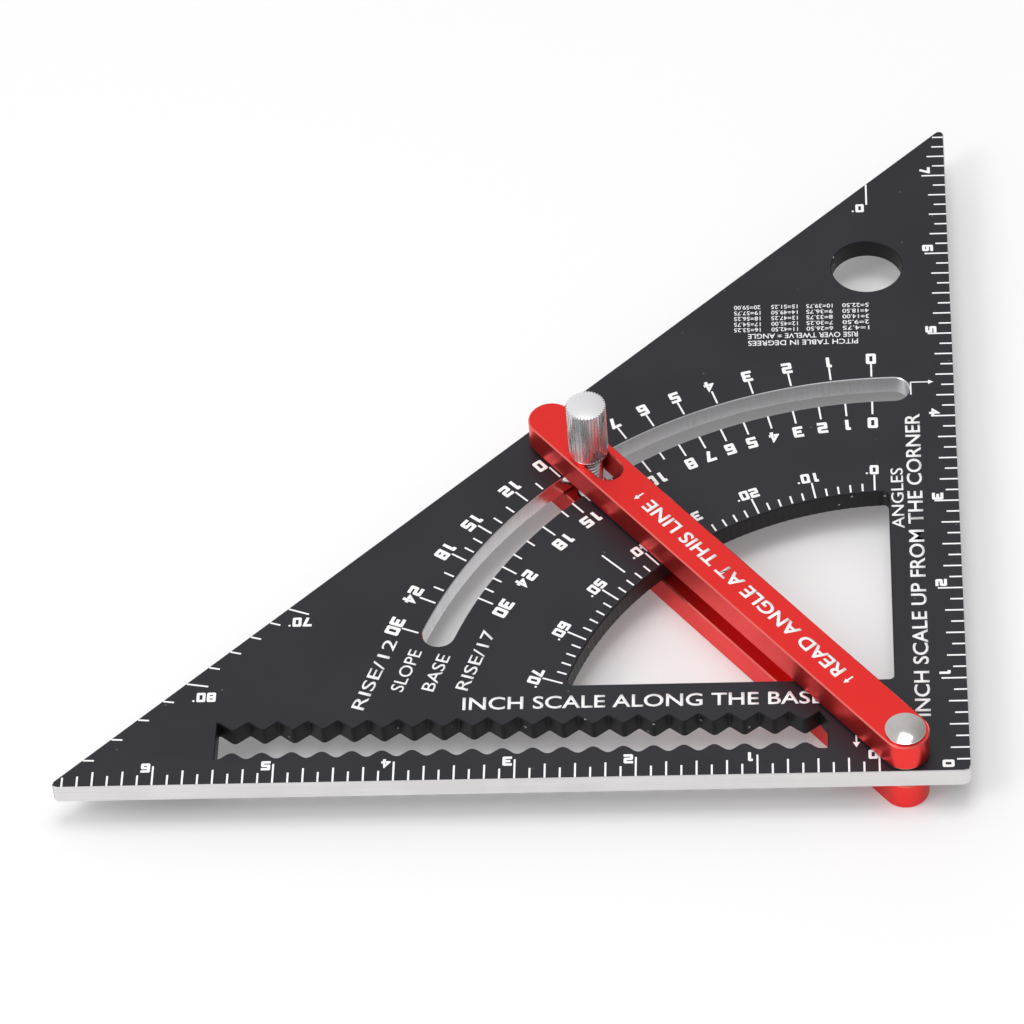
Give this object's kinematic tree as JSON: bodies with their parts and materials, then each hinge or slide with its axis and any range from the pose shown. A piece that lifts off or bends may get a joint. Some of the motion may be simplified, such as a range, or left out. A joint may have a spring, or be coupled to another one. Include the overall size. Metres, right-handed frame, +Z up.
{
  "type": "speed square",
  "caption": "Flat triangular layout square with inch and degree scales, an arc slot and a pair of swing arms that a knurled knob locks at an angle.",
  "frame": {"origin": "centre of the object's box, on the surface that the lower arm lies on", "axes": "+Z up out of the plate's face, +X towards the square corner along the bottom scale, +Y away from the bottom scale"},
  "size_m": [0.1925, 0.1925, 0.0345],
  "materials": {
    "black_anodise": "satin black anodised, bare machined edges",
    "red_anodise": "satin red anodised",
    "bare_aluminium": "machined and knurled",
    "polished_steel": "polished",
    "zinc_steel": "bright zinc",
    "nylon": "matte"
  },
  "bodies": {
    "square": {"square_plate": "black_anodise", "upper_pivot_washer": "nylon", "lower_pivot_washer": "nylon"},
    "arms": {"upper_arm": "red_anodise", "lower_arm": "red_anodise", "pivot_screw": "polished_steel", "pivot_barrel": "polished_steel", "lock_stud": "zinc_steel"},
    "lock_washer": {"knob_washer": "zinc_steel"},
    "knob": {"lock_knob": "bare_aluminium"}
  },
  "joints": [
    {"name": "arm_swing", "type": "hinge", "parent": "square", "child": "arms", "pos_m": [0.08266, -0.09117, 0.00978], "axis": [0, 0, 1], "range_deg": [-39.6, 30.4]},
    {"name": "knob_lift", "type": "slide", "parent": "arms", "child": "lock_washer", "axis": [0, 0, 1], "range_m": [0, 0.004]},
    {"name": "knob_spin", "type": "hinge", "parent": "lock_washer", "child": "knob", "pos_m": [0.01573, -0.01027, 0.0273], "axis": [0, 0, 1], "range_deg": [0, 1440]}
  ],
  "couplings": [
    {"joint": "knob_spin", "follows": "knob_lift", "rad_per_m": 6283.2}
  ]
}
